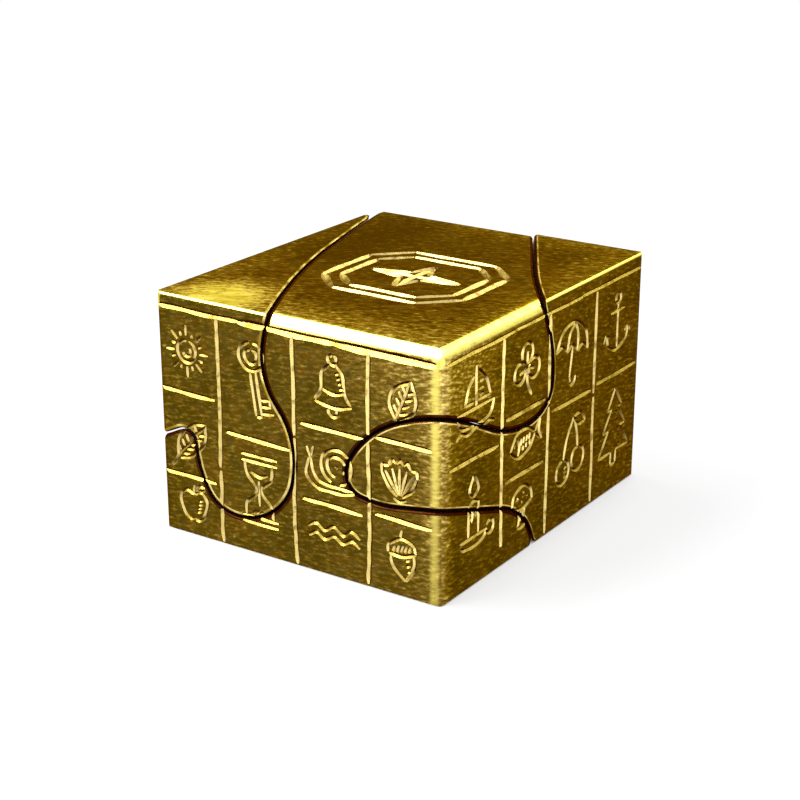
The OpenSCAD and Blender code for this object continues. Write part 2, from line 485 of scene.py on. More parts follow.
def make_kerf_shade_brass():
    """The inner part of the broken edges, painted brown as shade between the pieces."""
    material, tree, shader = new_material("kerf_shade_brass")
    tone = use_group(tree, mottle, cloud_size=2.0, fleck_size=0.25)
    colour = blend_colour(tree, fade(tree, tone["Clouds"], 0.45, 0.75, 0.0, 0.25), EDGE_SHADE_BROWN, UMBER)
    set_finish(tree, shader, colour, fade(tree, tone["Flecks"], 0.3, 0.7, 0.35, 0.55))
    return material


def make_worn_sheen_brass():
    """The broken edges along the cuts, rubbed bright where the pieces slide, and painted with a highlight."""
    material, tree, shader = new_material("worn_sheen_brass")
    tone = use_group(tree, mottle, cloud_size=2.5, fleck_size=0.3)
    colour = blend_colour(tree, fade(tree, tone["Clouds"], 0.35, 0.6), GOLD, STRAW)
    set_finish(tree, shader, colour, fade(tree, tone["Flecks"], 0.3, 0.7, 0.25, 0.42))
    set_relief(tree, shader, tone["Flecks"], 0.4, 0.02)
    return material


graved_brass = make_graved_brass()
FINISHES = [make_brushed_brass(), make_sawn_brass(), make_worn_sheen_brass(), make_kerf_shade_brass(), graved_brass]
BRUSHED, SAWN, WORN_SHEEN, SHADED_EDGE = range(4)

# ---------------------------------------------------------------- the faces to engrave


def sheet(corner, right, up):
    "Lays a flat drawing in millimetres on a face, seen from outside."
    right = Vector(right)
    up = Vector(up)
    columns = [right * MM, up * MM, right.cross(up) * MM]
    turn = Matrix([[column[row] for column in columns] for row in range(3)]).to_4x4()
    return Matrix.Translation(corner) @ turn


SHEETS = {
    "left_side": sheet((LOW.x, LOW.y, 0), (1, 0, 0), (0, 0, 1)),
    "right_side": sheet((HIGH.x, LOW.y, 0), (0, 1, 0), (0, 0, 1)),
    "back_right": sheet((HIGH.x, HIGH.y, 0), (-1, 0, 0), (0, 0, 1)),
    "back_left": sheet((LOW.x, HIGH.y, 0), (0, -1, 0), (0, 0, 1)),
    "top": sheet((0, 0, HIGH.z), (1, 0, 0), (0, 1, 0)),
}

# ---------------------------------------------------------------- drawing the motifs

# How far round a ring each of its points is from the last, in degrees
RING_STEP = 30


def ring(x, y, r, start=90, sweep=346, squash=1.0):
    "Points round a circle or part of one."
    steps = max(4, round(abs(sweep) / RING_STEP))
    angles = [math.radians(start + sweep * k / steps) for k in range(steps + 1)]
    return [(x + r * math.cos(a), y + squash * r * math.sin(a)) for a in angles]


def spoke(x, y, angle, inner, outer):
    "A straight line out from a centre."
    c = math.cos(math.radians(angle))
    s = math.sin(math.radians(angle))
    return [(x + inner * c, y + inner * s), (x + outer * c, y + outer * s)]


def flipped(strokes):
    "The same strokes, mirrored left to right."
    return [[(-x, y) for x, y in stroke] for stroke in strokes]


def both(*strokes):
    "Strokes with their mirror images."
    return list(strokes) + flipped(strokes)


def rungs(x0, y0, x1, y1, dx, dy, count):
    "Short parallel strokes, from each point between two ends, reaching by (dx, dy)."
    spots = [k / (count - 1) for k in range(count)]
    starts = [(x0 + (x1 - x0) * t, y0 + (y1 - y0) * t) for t in spots]
    return [[(x, y), (x + dx, y + dy)] for x, y in starts]


MOTIFS = {
    "sun": [ring(0, 0, 1.6), ring(0, 0, 0.7, 200, 200)]
    + [spoke(0, 0, a, 2.2, 3.7) for a in range(0, 360, 45)]
    + [spoke(0, 0, a, 2.2, 2.9) for a in range(22, 360, 45)],
    "moon": [ring(0, 0, 3.1, 52, 262), ring(1.4, 0.4, 2.3, 68, 222)]
    + [spoke(2.3, 1.0, a, 0.2, 1.1) for a in range(18, 360, 72)]
    + rungs(-2.4, -0.8, -0.9, -2.3, 0.5, 0.4, 4),
    "key": [ring(0, 2.6, 1.5), ring(0, 2.6, 0.75), [(-0.35, 1.0), (-0.35, -3.6)], [(0.35, 1.0), (0.35, -3.6)]]
    + [[(-0.35, -3.6), (0.35, -3.6)], [(0.4, -1.9), (1.6, -1.9)], [(1.6, -1.9), (1.6, -2.6)]]
    + [[(0.4, -2.6), (1.6, -2.6)], [(0.4, -3.3), (1.9, -3.3)]],
    "feather": [[(-2.4, -3.9), (-1.1, -1.2), (0.4, 1.4), (1.9, 3.7)]]
    + [[(-1.5, -2.2), (-1.8, 0.2), (-0.3, 2.7), (1.9, 3.7)]]
    + [[(-1.2, -2.3), (0.8, -1.0), (2.2, 1.4), (1.9, 3.7)]]
    + rungs(-1.2, -1.4, 0.8, 2.1, -0.6, 0.9, 5) + rungs(-0.9, -1.5, 1.1, 1.9, 1.1, 0.4, 5),
    "hourglass": [[(-2.1, 3.4), (2.1, 3.4)], [(-2.1, -3.4), (2.1, -3.4)], [(-2.1, 2.8), (2.1, 2.8)]]
    + [[(-2.1, -2.8), (2.1, -2.8)], [(0, 0.9), (0, -1.6)], [(-1.0, 1.7), (0, 1.4), (1.0, 1.7)]]
    + both([(-1.6, 2.7), (-1.4, 1.4), (-0.25, 0), (-1.4, -1.4), (-1.6, -2.7)])
    + rungs(-0.9, -2.4, 0.3, -2.4, 0.5, 0.35, 4),
    "bell": both([(-0.5, 2.7), (-1.5, 1.5), (-1.7, -0.6), (-2.6, -2.0)])
    + [[(-2.7, -2.1), (0, -2.6), (2.7, -2.1)], ring(0, 3.3, 0.6), ring(0, -3.1, 0.6, 160, 220)]
    + [[(-1.7, -0.5), (0, -0.9), (1.7, -0.5)]] + rungs(0.3, 1.6, 0.9, -0.2, 0.6, 0.25, 4),
    "mushroom": [[(-2.9, 0.2), (-2.3, 2.1), (0, 3.2), (2.3, 2.1), (2.9, 0.2)]]
    + [[(-2.9, 0.2), (0, -0.5), (2.9, 0.2)], [(-1.3, -3.2), (0, -3.5), (1.4, -3.2)]]
    + both([(-0.9, -0.3), (-0.7, -1.9), (-1.2, -3.1)])
    + [[(-1.5, 1.2), (-1.1, 1.6)], [(0.2, 2.0), (0.7, 2.1)], [(1.2, 1.1), (1.6, 0.8)]]
    + [[(-0.2, 0.6), (0.2, 0.7)]] + rungs(-0.3, -0.9, 0.4, -0.9, 0, -1.5, 2),
    "leaf": [[(0, -3.0), (-1.9, -0.9), (-1.6, 1.5), (0.3, 3.6)]]
    + [[(0, -3.0), (1.9, -1.1), (1.9, 1.5), (0.3, 3.6)], [(-0.5, -4.2), (0, -1.2), (0.3, 3.2)]]
    + rungs(0, -1.9, 0.2, 1.5, -1.1, 1.0, 4) + rungs(0.1, -1.9, 0.3, 1.5, 1.1, 0.9, 4),
    "shell": [[(-3.0, 0.9), (-2.9, 2.0), (-1.9, 2.1)], [(-1.9, 2.1), (-1.3, 3.1), (-0.6, 2.6)]]
    + [[(-0.6, 2.6), (0, 3.3), (0.6, 2.6)], [(0.6, 2.6), (1.3, 3.1), (1.9, 2.1)]]
    + [[(1.9, 2.1), (2.9, 2.0), (3.0, 0.9)]]
    + [spoke(0, -2.6, a, 0.5, 4.6) for a in (58, 74, 90, 106, 122)]
    + both([(-0.4, -2.4), (-2.0, -0.9), (-3.0, 0.9)]) + [[(-1.1, -2.6), (0, -3.1), (1.1, -2.6)]],
    "acorn": [[(-2.0, 0.5), (-1.7, 1.7), (0, 2.4), (1.7, 1.7), (2.0, 0.5)]]
    + [[(-2.0, 0.5), (0, 0.1), (2.0, 0.5)]]
    + [[(-1.7, 0.2), (-1.5, -1.3), (0, -3.1)], [(1.7, 0.2), (1.5, -1.3), (0, -3.1)], [(0, 2.3), (0.4, 3.5)]]
    + rungs(-1.3, 0.6, 1.0, 0.6, 0.5, 0.9, 5) + rungs(0.4, -0.5, 0.4, -1.9, 0.6, 0.2, 3),
    "boat": [[(-3.7, -0.9), (-2.8, -2.5), (0, -2.8), (2.7, -2.5), (3.7, -0.9)], [(-3.7, -0.9), (3.7, -0.9)]]
    + [[(0, -0.9), (0, 3.7)], [(0.4, 3.2), (1.9, 1.9), (2.9, -0.2)], [(2.9, -0.2), (0.4, -0.2)]]
    + [[(-0.4, 2.7), (-1.6, 1.4), (-2.3, -0.2)], [(-2.3, -0.2), (-0.4, -0.2)]]
    + [[(-3.9, -3.5), (-2.8, -3.1), (-1.5, -3.5), (0, -3.1), (1.4, -3.5), (2.7, -3.1), (3.9, -3.5)]]
    + rungs(0.7, 0.2, 0.7, 1.8, 0.9, 0.1, 3),
    "candle": both([(-0.9, -2.3), (-0.9, 1.1)], [(0, 1.7), (-0.8, 2.6), (0, 4.1)])
    + [[(-0.9, 1.1), (0, 1.4), (0.9, 1.1)], [(-0.9, 0.4), (-0.4, -0.5), (0, 0.5), (0.4, -0.2), (0.9, 0.6)]]
    + [[(-2.5, -2.4), (2.5, -2.4)], [(-2.5, -2.4), (-1.6, -3.3), (1.6, -3.3), (2.5, -2.4)]]
    + [ring(3.1, -2.4, 0.7, 200, 310)],
    "clover": [ring(0, 1.8, 1.3, 270), ring(-1.7, -0.4, 1.3, 30), ring(1.7, -0.4, 1.3, 150)]
    + [[(0, -0.2), (0.2, -2.2), (1.2, -3.9)], [(0, 0.4), (0, 2.0)], [(-0.3, -0.2), (-1.8, -0.5)]]
    + [[(0.3, -0.2), (1.8, -0.5)]],
    "fish": [[(-3.6, 0), (-1.6, 1.7), (0.9, 1.4), (2.5, 0.2)]]
    + [[(-3.6, 0), (-1.6, -1.6), (0.9, -1.3), (2.5, -0.1)]]
    + [[(2.5, 0.2), (3.9, 1.5)], [(3.9, 1.5), (3.4, 0), (3.9, -1.5)], [(3.9, -1.5), (2.5, -0.2)]]
    + [[(-1.9, 1.3), (-1.4, 0), (-1.9, -1.2)], [(-2.6, 0.5), (-2.3, 0.3)]]
    + rungs(-0.8, 0.7, 1.2, 0.6, -0.3, -0.8, 4) + rungs(-0.5, -0.4, 1.1, -0.3, -0.2, -0.6, 3),
    "umbrella": [[(-3.6, 0), (-2.6, 2.2), (0, 3.3), (2.6, 2.2), (3.6, 0)], [(0, 0.5), (0, -2.9)]]
    + [[(-3.6, 0), (-2.4, 0.7), (-1.2, 0)], [(-1.2, 0), (0, 0.7), (1.2, 0)], [(1.2, 0), (2.4, 0.7), (3.6, 0)]]
    + both([(-1.2, 0), (-0.9, 1.9), (0, 3.2)]) + [[(0, -2.9), (0.5, -3.7), (1.3, -3.5), (1.4, -2.8)]],
    "apple": both([(0, 1.9), (-1.6, 2.5), (-2.8, 0.9), (-2.1, -1.7), (-0.8, -2.7), (0, -2.4)])
    + [[(0, 1.7), (0.3, 3.5)], [(0.4, 2.7), (1.3, 3.6), (2.4, 3.3)], [(0.4, 2.7), (1.4, 2.6), (2.4, 3.3)]]
    + rungs(1.0, 0.9, 0.6, -1.2, 0.9, 0.3, 4),
    "anchor": [ring(0, 3.3, 0.65), [(0, 2.6), (0, -3.1)], [(-1.9, 1.7), (1.9, 1.7)]]
    + [[(-2.9, -0.9), (-2.1, -2.6), (0, -3.3), (2.1, -2.6), (2.9, -0.9)]]
    + both([(-2.9, -0.9), (-3.5, -1.8)], [(-2.9, -0.9), (-1.9, -1.4)]),
    "pine": both([(0, 3.9), (-1.4, 1.9)], [(-1.4, 1.9), (-0.6, 1.9)], [(-0.6, 1.9), (-2.2, -0.1)])
    + both([(-2.2, -0.1), (-1.1, -0.1)], [(-1.1, -0.1), (-3.0, -2.4)], [(-3.0, -2.4), (-0.5, -2.4)])
    + both([(-0.5, -2.4), (-0.5, -3.7)]) + [[(-0.5, -3.7), (0.5, -3.7)]]
    + rungs(0.2, 1.6, 0.9, -1.8, 0.5, -0.4, 5),
    "flake": [spoke(0, 0, a, 0.2, 3.7) for a in range(0, 360, 60)]
    + [spoke(2.2 * math.cos(math.radians(a)), 2.2 * math.sin(math.radians(a)), a + lean, 0.1, 1.2)
       for a in range(0, 360, 60) for lean in (-50, 50)],
    "kite": both([(0, 3.6), (-2.1, 1.0)], [(-2.1, 1.0), (0, -2.2)])
    + [[(0, 3.6), (0, -2.2)], [(-2.1, 1.0), (2.1, 1.0)]]
    + [[(0, -2.2), (0.9, -2.9), (0, -3.4), (1.0, -4.1)]] + rungs(0.3, 1.6, 1.2, 1.6, 0.2, 0.6, 3),
    "lantern": [ring(0, 3.4, 0.6), [(-1.4, 2.1), (0, 2.9), (1.4, 2.1)], [(-1.9, 2.1), (1.9, 2.1)]]
    + both([(-1.6, 2.1), (-1.2, -2.3)]) + [[(-1.9, -2.4), (1.9, -2.4)], [(-1.6, -3.1), (1.6, -3.1)]]
    + both([(0, -1.5), (-0.6, -0.6), (0, 0.9)]) + both([(-1.9, -2.4), (-1.6, -3.1)]),
    "snail": [ring(0.6, 0.5, 2.2, 250, -330), ring(0.6, 0.5, 1.3, 260, -300), [(0.4, 0.3), (0.8, 0.6)]]
    + [[(-3.2, 1.0), (-2.7, -0.9), (-1.6, -1.9), (1.4, -2.1), (3.7, -2.3)], [(-3.2, 1.0), (-3.7, 2.3)]]
    + [[(-3.0, 1.1), (-2.7, 2.4)], [(-3.4, 0.9), (-3.8, -1.2), (-2.4, -2.6), (0.6, -2.8), (3.7, -2.3)]],
    "cherries": [ring(-1.5, -1.9, 1.3), ring(1.6, -1.3, 1.3), [(-1.4, -0.6), (-0.8, 1.4), (0.6, 3.5)]]
    + [[(1.5, 0), (1.3, 1.7), (0.6, 3.5)], [(0.6, 3.5), (2.0, 3.6), (3.0, 2.4)]]
    + [[(0.6, 3.5), (1.7, 2.4), (3.0, 2.4)]]
    + rungs(-1.2, -1.6, -1.2, -2.6, 0.6, 0.15, 3),
    "drum": [ring(0, 1.5, 2.6, 90, 346, 0.36), [(-2.6, 1.4), (-2.6, -1.6)], [(2.6, 1.4), (2.6, -1.6)]]
    + [[(-2.6, -1.6), (0, -2.6), (2.6, -1.6)]] + rungs(-2.6, 1.2, 1.2, 0.7, 1.1, -2.9, 4)
    + [[(-1.5, -2.2), (-0.2, 0.6)], [(-2.8, 3.6), (-0.4, 1.7)], [(2.8, 3.6), (0.4, 1.7)]],
    "heart": both([(0, -3.0), (-2.5, -0.2), (-2.7, 1.7), (-1.4, 2.6), (0, 1.3)])
    + rungs(0.8, 1.3, 0.3, -1.5, 0.9, 0.4, 4),
    "wave": [[(-3.8, 0.6), (-2.6, 1.3), (-1.4, 0.6), (0, 1.3), (1.3, 0.6), (2.6, 1.3), (3.8, 0.6)]]
    + [[(-3.8, -0.6), (-2.6, 0.1), (-1.4, -0.6), (0, 0.1), (1.3, -0.6), (2.6, 0.1), (3.8, -0.6)]],
}

# Where each motif lies: name, millimetres right and up on the sheet, size and turn in degrees
PLACES = {
    "left_side": [
        ("sun", 4.7, 23.4, 0.85, 0), ("feather", 4.6, 11.6, 0.95, -12), ("apple", 4.9, 4.0, 0.72, 0),
        ("key", 14.6, 21.6, 1.15, 8), ("hourglass", 14.9, 8.2, 1.25, 0),
        ("bell", 25.6, 23.2, 0.95, 0), ("snail", 25.4, 13.2, 0.95, 0), ("wave", 25.5, 5.0, 0.95, 0),
        ("leaf", 34.8, 23.2, 0.8, -18), ("shell", 34.5, 13.9, 0.78, 0), ("acorn", 34.9, 4.9, 0.92, 8),
    ],
    "right_side": [
        ("boat", 6.8, 22.6, 1.05, 0), ("candle", 6.6, 9.0, 1.15, 0),
        ("clover", 17.9, 23.1, 0.95, 0), ("fish", 17.8, 14.1, 0.95, 8), ("mushroom", 17.4, 6.1, 0.8, 0),
        ("umbrella", 28.6, 22.0, 1.1, -10), ("cherries", 28.9, 9.2, 1.2, 0),
        ("anchor", 40.2, 22.4, 1.0, 0), ("pine", 40.4, 8.6, 1.35, 0),
    ],
    "back_right": [
        ("kite", 6.4, 20.6, 1.3, -14), ("heart", 6.2, 7.0, 0.95, 0), ("flake", 18.6, 22.6, 1.0, 0),
        ("lantern", 18.8, 9.2, 1.3, 0), ("moon", 30.6, 22.4, 1.15, 0), ("drum", 30.8, 9.2, 1.1, 0),
    ],
    "back_left": [
        ("shell", 6.5, 22.2, 1.05, 0), ("pine", 6.6, 8.8, 1.4, 0), ("moon", 18.4, 22.8, 1.0, 0),
        ("boat", 18.3, 9.0, 1.1, 0), ("leaf", 29.6, 21.6, 1.15, 20), ("bell", 29.9, 7.6, 1.15, 0),
        ("fish", 40.3, 22.4, 0.9, 0), ("key", 40.6, 9.4, 1.25, -10),
    ],
}

# The border under the top edge, each stroke as its weight and its points
BORDERS = {
    "left_side": [
        (1.15, [(0.2, 28.5), (12.4, 28.4)]), (1.5, [(12.3, 28.4), (26.0, 28.3)]),
        (1.8, [(25.8, 28.3), (39.1, 28.2)]),
    ],
    "right_side": [
        (0.9, [(0.9, 28.2), (15.2, 28.2)]), (0.85, [(15.0, 28.3), (31.0, 28.2)]),
        (0.9, [(30.8, 28.3), (46.7, 28.3)]),
    ],
    "back_right": [(1.0, [(0.8, 28.4), (19.2, 28.3)]), (1.1, [(19.0, 28.4), (39.2, 28.3)])],
    "back_left": [(1.1, [(0.8, 28.4), (23.2, 28.3)]), (1.0, [(23.0, 28.4), (46.4, 28.3)])],
}
# The shelf and post lines between the motifs
SHELVES = {
    "left_side": [
        [(9.3, 28.2), (9.4, 17.6), (9.2, 9.8)], [(9.3, 9.4), (9.2, 3.6), (9.3, 0.3)],
        [(20.1, 28.1), (20.2, 16.2)], [(20.2, 15.9), (20.0, 6.9), (20.3, 0.3)],
        [(30.4, 28.1), (30.3, 18.0)], [(30.3, 17.6), (30.5, 7.6), (30.3, 0.4)],
        [(0.4, 18.3), (8.6, 18.1)], [(0.4, 7.7), (8.4, 7.6)], [(10.2, 14.6), (19.4, 14.3)],
        [(21.0, 18.0), (29.6, 17.9)], [(21.1, 8.9), (29.4, 8.7)],
        [(31.2, 18.5), (38.6, 18.4)], [(31.2, 9.3), (38.7, 9.2)],
    ],
    "right_side": [
        [(12.6, 28.0), (12.5, 16.4), (12.7, 2.6)], [(23.1, 28.0), (23.2, 17.0)], [(23.2, 16.6), (23.0, 0.4)],
        [(34.5, 27.9), (34.4, 14.9)], [(34.4, 14.5), (34.6, 0.4)],
        [(1.4, 15.9), (11.8, 15.6)], [(13.4, 18.0), (22.4, 17.9)], [(13.4, 10.3), (22.3, 10.2)],
        [(24.0, 15.8), (33.8, 15.6)], [(35.2, 15.9), (45.8, 15.8)],
    ],
    "back_right": [
        [(12.3, 28.1), (12.4, 14.2)], [(12.4, 13.8), (12.3, 0.4)], [(24.6, 28.1), (24.5, 0.4)],
        [(1.0, 13.4), (11.6, 13.2)], [(13.2, 16.6), (23.8, 16.4)], [(25.4, 15.8), (38.6, 15.6)],
    ],
    "back_left": [
        [(12.6, 28.1), (12.5, 0.4)], [(24.2, 28.1), (24.3, 0.4)], [(35.2, 28.1), (35.1, 0.4)],
        [(1.0, 16.4), (11.8, 16.2)], [(13.3, 15.9), (23.4, 15.8)], [(25.0, 14.6), (34.4, 14.5)],
        [(36.0, 17.0), (46.0, 16.9)],
    ],
}

# How heavily each kind of line is cut
MOTIF_WEIGHT = 0.85
SHELF_WEIGHT = 1.05

# The frame on the top: its middle, half its length and width, how much its corners are cut, the space
# between its two lines, and the share of that by which the inner line's corners are cut less
FRAME_MIDDLE = (2.2, -1.8)
FRAME_HALF = (9.9, 9.0)
FRAME_CORNER = 4.0
FRAME_STEP = 1.9
FRAME_TRIM = 0.42
# Width of the broader graver that cut it
FRAME_GROOVE = 0.95 * MM


def top_frame():
    "An eight-sided double frame round a plain four-pointed star."
    strokes = []
    for inset in (0, FRAME_STEP):
        a = FRAME_HALF[0] - inset
        b = FRAME_HALF[1] - inset
        c = FRAME_CORNER - inset * FRAME_TRIM
        corners = [(a, b - c), (a - c, b), (c - a, b), (-a, b - c)]
        corners += [(-x, -y) for x, y in corners]
        strokes += [[corners[k - 1], corners[k]] for k in range(8)]
    tips = [(6.2, 0), (1.3, 1.1), (0, 4.6), (-1.3, 1.1), (-6.2, 0), (-1.3, -1.1), (0, -4.6), (1.3, -1.1)]
    strokes += [[tips[k - 1], tips[k]] for k in range(8)]
    strokes += [[(0, 0), (x, y)] for x, y in ((5.6, 0), (-5.6, 0), (0, 4.1), (0, -4.1))]
    x0, y0 = FRAME_MIDDLE
    return [[(x + x0, y + y0) for x, y in stroke] for stroke in strokes]


# ---------------------------------------------------------------- the graver


def along(points):
    "Evenly spaced points along a smooth line through the given ones."
    if len(points) == 2:
        (x0, y0), (x1, y1) = points
        steps = max(3, round(math.hypot(x1 - x0, y1 - y0) / STRAIGHT_STEP))
        return [(x0 + (x1 - x0) * k / steps, y0 + (y1 - y0) * k / steps) for k in range(steps + 1)]
    knots = [Vector(p) for p in points]
    knots = [2 * knots[0] - knots[1]] + knots + [2 * knots[-1] - knots[-2]]
    line = []
    for a, b, c, d in zip(knots, knots[1:], knots[2:], knots[3:]):
        steps = max(2, round((c - b).length / GROOVE_STEP))
        for k in range(steps):
            t = k / steps
            bend = (c - a) * t + (2 * a - 5 * b + 4 * c - d) * t ** 2 + (3 * b - a - 3 * c + d) * t ** 3
            line.append(b + bend / 2)
    line.append(knots[-2])
    return [tuple(p) for p in line]


def graver_profile(width):
    "The cutter's section in millimetres, a wedge that points into the metal."
    curve = bpy.data.curves.new("graver_profile", "CURVE")
    curve.dimensions = "2D"
    wide = width / MM
    side = wide / 2 * (GROOVE_DEEP + GROOVE_CLEAR) / GROOVE_DEEP
    corners = ((-side, GROOVE_CLEAR * wide), (0, -GROOVE_DEEP * wide), (side, GROOVE_CLEAR * wide))
    spline = curve.splines.new("POLY")
    spline.points.add(len(corners) - 1)
    for point, (x, y) in zip(spline.points, corners):
        point.co = (x, y, 0, 1)
    spline.use_cyclic_u = True
    profile = bpy.data.objects.new("graver_profile", curve)
    bpy.context.scene.collection.objects.link(profile)
    return profile


def cutter(profile, place, points, weight, cutters):
    "One groove's worth of metal to take away, laid on a face."
    curve = bpy.data.curves.new("stroke", "CURVE")
    curve.dimensions = "2D"
    curve.bevel_mode = "OBJECT"
    curve.bevel_object = profile
    curve.use_fill_caps = True
    line = along(points)
    spline = curve.splines.new("POLY")
    spline.points.add(len(line) - 1)
    phase = hand.uniform(0, FULL_ROUND)
    lean = hand.uniform(-HAND_WANDER, HAND_WANDER)
    for k, (point, (x, y)) in enumerate(zip(spline.points, line)):
        sway = lean * math.sin(phase + WANDER_PACE * k)
        end = min(k, len(line) - 1 - k)
        swell = min(1.0, GROOVE_END + GROOVE_GAIN * end)
        point.co = (x + sway, y - sway, 0, 1)
        point.radius = weight * swell * (1 + HAND_WEIGHT * math.sin(phase + WEIGHT_PACE * k))
    stroke = bpy.data.objects.new("stroke", curve)
    bpy.context.scene.collection.objects.link(stroke)
    bpy.context.view_layer.update()
    ready = stroke.evaluated_get(bpy.context.evaluated_depsgraph_get())
    mesh = bpy.data.meshes.new_from_object(ready)
    bpy.data.objects.remove(stroke)
    bpy.data.curves.remove(curve)
    bm = bmesh.new()
    bm.from_mesh(mesh)
    bmesh.ops.remove_doubles(bm, verts=bm.verts, dist=CUTTER_WELD)
    bmesh.ops.transform(bm, matrix=place, verts=bm.verts)
    bmesh.ops.recalc_face_normals(bm, faces=bm.faces)
    if bm.calc_volume(signed=True) < 0:
        bmesh.ops.reverse_faces(bm, faces=bm.faces)
    bm.to_mesh(mesh)
    bm.free()
    mesh.materials.clear()
    mesh.materials.append(graved_brass)
    cutters.objects.link(bpy.data.objects.new("cutter", mesh))


def make_cutters():
    "Every groove on the block, one cutter each."
    cutters = bpy.data.collections.new("cutters")
    bpy.context.scene.collection.children.link(cutters)
    fine = graver_profile(GROOVE_WIDTH)
    broad = graver_profile(FRAME_GROOVE)
    for face, motifs in PLACES.items():
        for name, x, y, size, turn in motifs:
            c = math.cos(math.radians(turn)) * size
            s = math.sin(math.radians(turn)) * size
            for stroke in MOTIFS[name]:
                points = [(x + c * px - s * py, y + s * px + c * py) for px, py in stroke]
                cutter(fine, SHEETS[face], points, MOTIF_WEIGHT, cutters)
    for face, strokes in SHELVES.items():
        for stroke in strokes:
            cutter(fine, SHEETS[face], stroke, SHELF_WEIGHT, cutters)
    for face, strokes in BORDERS.items():
        for weight, stroke in strokes:
            cutter(fine, SHEETS[face], stroke, weight, cutters)
    for stroke in top_frame():
        cutter(broad, SHEETS["top"], stroke, 1.0, cutters)
    for profile in (fine, broad):
        curve = profile.data
        bpy.data.objects.remove(profile)
        bpy.data.curves.remove(curve)
    return cutters


def clear_away(collection):
    "Removes a collection and everything in it."
    for item in list(collection.objects):
        mesh = item.data
        bpy.data.objects.remove(item)
        bpy.data.meshes.remove(mesh)
    bpy.data.collections.remove(collection)


# ---------------------------------------------------------------- the pieces

# How far the edges along the cuts are broken on each piece, how many strips round them, and how many of
# those, counted from the skin, are rubbed and painted bright as a highlight; the rest are painted shade
EDGE_BREAK = {"left_piece": 0.44 * MM, "middle_piece": 0.42 * MM, "right_piece": 0.4 * MM}
EDGE_STRIPS = 4
SHEEN_STRIPS = {"left_piece": 2, "middle_piece": 0, "right_piece": 1}


def settled(item):
    "A mesh of an object as its modifiers leave it."
    bpy.context.view_layer.update()
    graph = bpy.context.evaluated_depsgraph_get()
    ready = item.evaluated_get(graph)
    return bpy.data.meshes.new_from_object(ready, preserve_all_data_layers=True, depsgraph=graph)


def is_bend(vert):
    "Whether a point does no more than bend one edge by a hair's breadth, or ends a fold as thin."
    if len(vert.link_edges) != 2:
        return False
    start, end = (edge.other_vert(vert).co - vert.co for edge in vert.link_edges)
    longest = max(start.length, end.length, (end - start).length)
    return start.cross(end).length < HAIR * longest


def straighten(bm):
    "Takes out the points that only bend an edge, and the slivers of face they leave."
    bends = [vert for vert in bm.verts if is_bend(vert)]
    inside = [vert for vert in bends if all(len(face.verts) > 3 for face in vert.link_faces)]
    bmesh.ops.dissolve_verts(bm, verts=inside)
    for vert in [vert for vert in bm.verts if is_bend(vert)]:
        bmesh.ops.weld_verts(bm, targetmap={vert: vert.link_edges[0].other_vert(vert)})


def crease(mesh):
    "Straightens bent edges, keeps the sharp edges of a mesh crisp and smooths the rest."
    bm = bmesh.new()
    bm.from_mesh(mesh)
    straighten(bm)
    for face in bm.faces:
        face.smooth = True
    for edge in bm.edges:
        edge.smooth = edge.is_manifold and edge.calc_face_angle() < CREASE_ANGLE
    bm.to_mesh(mesh)
    bm.free()


def is_wall(face):
    "Whether a face is a wall of a cut: it runs along the draw, and so do its long sides."
    if abs(face.normal.dot(DRAW)) > WALL_LEAN:
        return False
    sides = [edge.verts[1].co - edge.verts[0].co for edge in face.edges]
    drawn = sum(side.length > LONG_SIDE and abs(side.normalized().dot(DRAW)) > STRAIGHT for side in sides)
    # A strip of a rounded edge can run along the draw too, but then it has one such side at most
    rounding = min(abs(value) for value in face.normal) < ROUNDING_LEAN
    return drawn > (1 if rounding else 0)


def beside(faces, neighbours):
    "The faces that share an edge with one of the neighbours."
    touched = {face for other in neighbours for edge in other.edges for face in edge.link_faces}
    return faces & touched


def bare_piece(node):
    "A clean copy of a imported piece, with its cut walls marked and the edges along them broken."
    bm = bmesh.new()
    bm.from_mesh(frame["nodes"][node].data)
    bmesh.ops.remove_doubles(bm, verts=bm.verts, dist=WELD)
    bmesh.ops.dissolve_limit(bm, angle_limit=FLAT_ANGLE, verts=bm.verts, edges=bm.edges)
    bmesh.ops.dissolve_degenerate(bm, dist=SHORTEST_EDGE, edges=bm.edges)
    for face in bm.faces:
        face.material_index = SAWN if is_wall(face) else BRUSHED
    rims = [edge for edge in bm.edges if len({face.material_index for face in edge.link_faces}) == 2]
    rims = [edge for edge in rims if max(vert.co.z for vert in edge.verts) > UNBROKEN_BELOW]
    broken = bmesh.ops.bevel(
        bm, geom=rims, offset=EDGE_BREAK[node], offset_type="OFFSET", segments=EDGE_STRIPS, profile=0.5,
        affect="EDGES", clamp_overlap=False, material=-1,
    )["faces"]
    left = set(broken)
    last = {face for face in bm.faces if face.material_index == BRUSHED} - left
    # Strips next to the skin: wear and a painted highlight; the strips further in: painted shade
    for strip in range(EDGE_STRIPS):
        last = beside(left, last)
        left -= last
        for face in last:
            face.material_index = WORN_SHEEN if strip < SHEEN_STRIPS[node] else SHADED_EDGE
    # The inner strips are painted shade between the pieces
    for face in left:
        face.material_index = SHADED_EDGE
    for vert in bm.verts:
        vert.co = [min(max(value, low), high) for value, low, high in zip(vert.co, LOW, HIGH)]
    mesh = bpy.data.meshes.new(node + "_bare")
    bm.to_mesh(mesh)
    bm.free()
    for finish in FINISHES:
        mesh.materials.append(finish)
    return mesh


